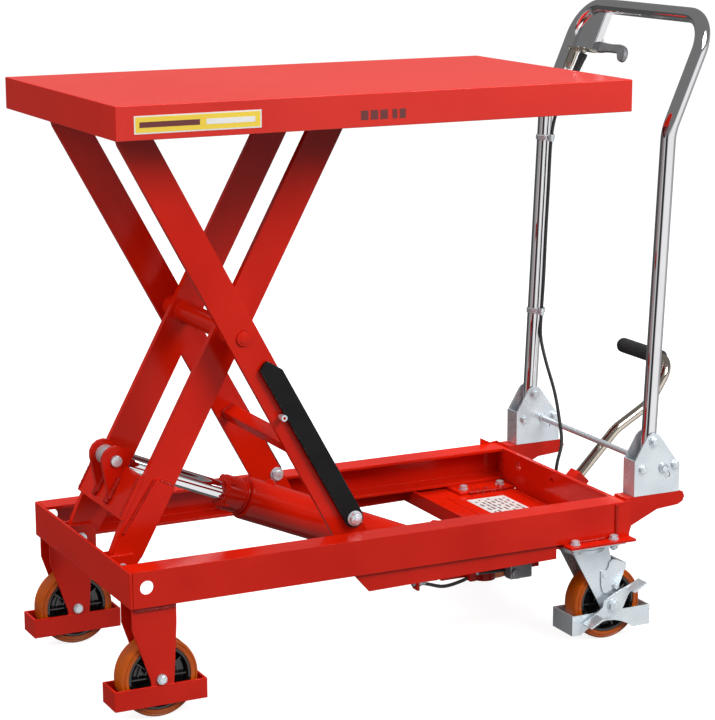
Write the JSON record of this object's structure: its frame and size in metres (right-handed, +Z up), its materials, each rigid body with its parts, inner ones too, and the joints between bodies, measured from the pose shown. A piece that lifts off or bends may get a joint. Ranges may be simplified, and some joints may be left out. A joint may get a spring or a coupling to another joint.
{
  "type": "scissor lift table",
  "caption": "Wheeled hydraulic scissor lift table: raised steel platform on crossed arms, with a foot pump, a bent push handle, safety struts and braked swivel casters.",
  "frame": {"origin": "on the floor, under the centre of the whole object's bounding box", "axes": "+Z up, +X toward the push handle and foot pedal, +Y to the right of an operator who stands at the handle and faces the table"},
  "size_m": [1.1414, 0.5, 1.0289],
  "materials": {
    "red_paint": "glossy red powder coat, slightly orange-peeled",
    "black_paint": "satin black paint",
    "zinc": "bright bluish zinc plate",
    "chrome": "polished chrome plate",
    "nickel": "warm bright nickel plate",
    "orange_tyre": "orange polyurethane, semi-gloss",
    "black_plastic": "glossy black nylon",
    "black_rubber": "ribbed black rubber",
    "cast_grey": "as-cast grey, satin"
  },
  "bodies": {
    "chassis": {"side_rail_left": "red_paint", "side_rail_right": "red_paint", "front_cross_rail": "red_paint", "rear_cross_plate": "red_paint", "pump_tray": "red_paint", "pump_body": "red_paint", "rear_corner_bracket_left": "red_paint", "rear_corner_bracket_right": "red_paint", "fixed_fork_left": "red_paint", "fixed_fork_right": "red_paint", "fixed_axle_left": "zinc", "fixed_axle_right": "zinc", "base_hinge_left": "red_paint", "base_hinge_right": "red_paint", "caster_top_plate_left": "zinc", "caster_top_plate_right": "zinc", "handle_bracket_left": "zinc", "handle_bracket_right": "zinc", "release_cable": "black_rubber"},
    "inner_arms": {"inner_arm_left": "red_paint", "inner_arm_right": "red_paint", "inner_cross_plate": "red_paint", "scissor_shaft": "red_paint"},
    "outer_arms": {"outer_arm_left": "red_paint", "outer_arm_right": "red_paint", "outer_cross_angle": "red_paint"},
    "platform": {"platform_top": "red_paint", "platform_track_left": "red_paint", "platform_track_right": "red_paint"},
    "ram_rod": {"piston_rod": "chrome", "rod_pin": "zinc"},
    "ram_barrel": {"cylinder_tube": "red_paint", "gland_nut": "red_paint"},
    "foot_pedal": {"pedal_arm": "nickel", "pedal_grip": "black_rubber"},
    "push_handle": {"handle_tube": "chrome"},
    "release_lever": {"release_lever": "cast_grey"},
    "lock_rod": {"lock_rod": "zinc"},
    "fixed_wheel_left": {"fixed_tyre_left": "orange_tyre", "fixed_rim_left": "black_plastic"},
    "caster_swivel_left": {"caster_fork_left": "zinc", "caster_guard_left": "zinc", "caster_axle_left": "zinc"},
    "caster_wheel_left": {"caster_tyre_left": "orange_tyre", "caster_rim_left": "black_plastic"},
    "brake_left": {"brake_pedal_left": "zinc"},
    "lower_roller_left": {"lower_roller_left": "zinc"},
    "upper_roller_left": {"upper_roller_left": "zinc"},
    "strut_left": {"safety_strut_left": "black_paint"},
    "fixed_wheel_right": {"fixed_tyre_right": "orange_tyre", "fixed_rim_right": "black_plastic"},
    "caster_swivel_right": {"caster_fork_right": "zinc", "caster_guard_right": "zinc", "caster_axle_right": "zinc"},
    "caster_wheel_right": {"caster_tyre_right": "orange_tyre", "caster_rim_right": "black_plastic"},
    "brake_right": {"brake_pedal_right": "zinc"},
    "lower_roller_right": {"lower_roller_right": "zinc"},
    "upper_roller_right": {"upper_roller_right": "zinc"},
    "strut_right": {"safety_strut_right": "black_paint"}
  },
  "joints": [
    {"name": "lift", "type": "hinge", "parent": "chassis", "child": "inner_arms", "pos_m": [-0.51575, 0, 0.2085], "axis": [0, 1, 0], "range_deg": [0, 53]},
    {"name": "scissor_pivot", "type": "hinge", "parent": "inner_arms", "child": "outer_arms", "pos_m": [-0.32639, 0, 0.558], "axis": [0, 1, 0], "range_deg": [-106, 0]},
    {"name": "platform_hinge", "type": "hinge", "parent": "outer_arms", "child": "platform", "pos_m": [-0.51575, 0, 0.9075], "axis": [0, 1, 0], "range_deg": [0, 53]},
    {"name": "rod_eye", "type": "hinge", "parent": "inner_arms", "child": "ram_rod", "pos_m": [-0.49225, 0, 0.358], "axis": [0, 1, 0], "range_deg": [-55.67, 0]},
    {"name": "ram_stroke", "type": "slide", "parent": "ram_rod", "child": "ram_barrel", "axis": [-0.9231, 0, 0.3844], "range_m": [0, 0.1337]},
    {"name": "handle_fold", "type": "hinge", "parent": "chassis", "child": "push_handle", "pos_m": [0.37775, 0, 0.33], "axis": [0, -1, 0], "range_deg": [0, 8]},
    {"name": "handle_lock", "type": "slide", "parent": "chassis", "child": "lock_rod", "axis": [0.5429, 0, -0.8398], "range_m": [0, 0.01], "stiffness_N_per_m": 800, "springref_m": -0.01},
    {"name": "foot_pump", "type": "hinge", "parent": "chassis", "child": "foot_pedal", "pos_m": [0.27925, 0.012, 0.135], "axis": [0, 1, 0], "range_deg": [0, 30], "stiffness_Nm_per_rad": 20, "springref_deg": -68.75},
    {"name": "release", "type": "hinge", "parent": "push_handle", "child": "release_lever", "pos_m": [0.45725, 0.134, 0.953], "axis": [-0.9178, 0, 0.397], "range_deg": [-18, 0], "stiffness_Nm_per_rad": 0.6, "springref_deg": 28.65},
    {"name": "fixed_wheel_spin_left", "type": "hinge", "parent": "chassis", "child": "fixed_wheel_left", "pos_m": [-0.49475, -0.188, 0.0625], "axis": [0, 1, 0], "continuous": true},
    {"name": "caster_turn_left", "type": "hinge", "parent": "chassis", "child": "caster_swivel_left", "pos_m": [0.25825, -0.182, 0.165], "axis": [0, 0, 1], "continuous": true},
    {"name": "caster_spin_left", "type": "hinge", "parent": "caster_swivel_left", "child": "caster_wheel_left", "pos_m": [0.30025, -0.182, 0.0625], "axis": [0, 1, 0], "continuous": true},
    {"name": "brake_rock_left", "type": "hinge", "parent": "caster_swivel_left", "child": "brake_left", "pos_m": [0.30025, -0.182, 0.0625], "axis": [0, 1, 0], "range_deg": [0, 15]},
    {"name": "lower_roller_spin_left", "type": "hinge", "parent": "outer_arms", "child": "lower_roller_left", "pos_m": [-0.13704, -0.195, 0.2085], "axis": [0, 1, 0], "continuous": true},
    {"name": "upper_roller_spin_left", "type": "hinge", "parent": "inner_arms", "child": "upper_roller_left", "pos_m": [-0.13704, -0.115, 0.9075], "axis": [0, 1, 0], "continuous": true},
    {"name": "strut_swing_left", "type": "hinge", "parent": "outer_arms", "child": "strut_left", "pos_m": [-0.14481, -0.155, 0.25433], "axis": [0, -1, 0], "range_deg": [-118, 0]},
    {"name": "fixed_wheel_spin_right", "type": "hinge", "parent": "chassis", "child": "fixed_wheel_right", "pos_m": [-0.49475, 0.188, 0.0625], "axis": [0, 1, 0], "continuous": true},
    {"name": "caster_turn_right", "type": "hinge", "parent": "chassis", "child": "caster_swivel_right", "pos_m": [0.25825, 0.182, 0.165], "axis": [0, 0, 1], "continuous": true},
    {"name": "caster_spin_right", "type": "hinge", "parent": "caster_swivel_right", "child": "caster_wheel_right", "pos_m": [0.30025, 0.182, 0.0625], "axis": [0, 1, 0], "continuous": true},
    {"name": "brake_rock_right", "type": "hinge", "parent": "caster_swivel_right", "child": "brake_right", "pos_m": [0.30025, 0.182, 0.0625], "axis": [0, 1, 0], "range_deg": [0, 15]},
    {"name": "lower_roller_spin_right", "type": "hinge", "parent": "outer_arms", "child": "lower_roller_right", "pos_m": [-0.13704, 0.195, 0.2085], "axis": [0, 1, 0], "continuous": true},
    {"name": "upper_roller_spin_right", "type": "hinge", "parent": "inner_arms", "child": "upper_roller_right", "pos_m": [-0.13704, 0.115, 0.9075], "axis": [0, 1, 0], "continuous": true},
    {"name": "strut_swing_right", "type": "hinge", "parent": "outer_arms", "child": "strut_right", "pos_m": [-0.14481, 0.155, 0.25433], "axis": [0, -1, 0], "range_deg": [-118, 0]}
  ],
  "couplings": [
    {"joint": "scissor_pivot", "follows": "lift", "ratio": -2},
    {"joint": "platform_hinge", "follows": "lift", "ratio": 1},
    {"joint": "rod_eye", "follows": "lift", "ratio": -1.041},
    {"joint": "ram_stroke", "follows": "lift", "m_per_rad": 0.144}
  ]
}
